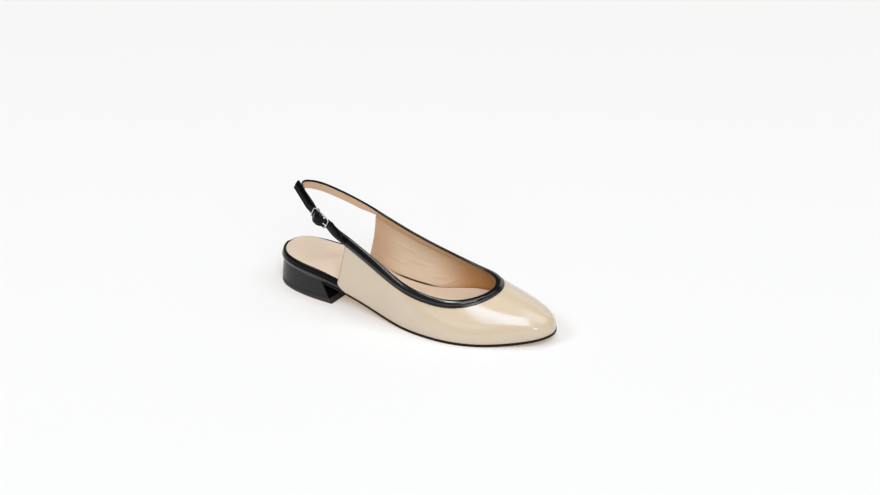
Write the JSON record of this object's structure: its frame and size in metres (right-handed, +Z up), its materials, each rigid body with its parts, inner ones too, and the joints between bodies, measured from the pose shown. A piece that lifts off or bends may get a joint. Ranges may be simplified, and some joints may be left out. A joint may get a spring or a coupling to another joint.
{
  "type": "slingback ballet flat",
  "caption": "Slingback ballet flat with a low vamp, contrast binding round the collar, a buckled heel strap and a low block heel, for the right foot.",
  "frame": {"origin": "on the floor, under the middle of the shoe's box", "axes": "+X from heel to toe, +Y towards the inner side of the foot, +Z up"},
  "size_m": [0.2498, 0.0806, 0.099],
  "materials": {
    "cream_leather": "polished smooth cream leather with a high gloss",
    "black_leather": "glossy black leather with a fine crinkle",
    "sock_leather": "matt tan lining leather",
    "sole_leather": "smooth dark brown sole leather",
    "heel_cover": "black lacquered heel",
    "lift_rubber": "matt black rubber",
    "buckle_metal": "polished bright metal"
  },
  "bodies": {
    "root": {"outsole": "sole_leather", "heel_block": "heel_cover", "top_lift": "lift_rubber", "insole": "sock_leather", "heel_rand": "black_leather", "upper": "cream_leather", "topline_binding": "black_leather", "heel_strap": "black_leather", "buckle_strap": "black_leather", "buckle_frame": "buckle_metal", "buckle_prong": "buckle_metal"}
  },
  "joints": []
}
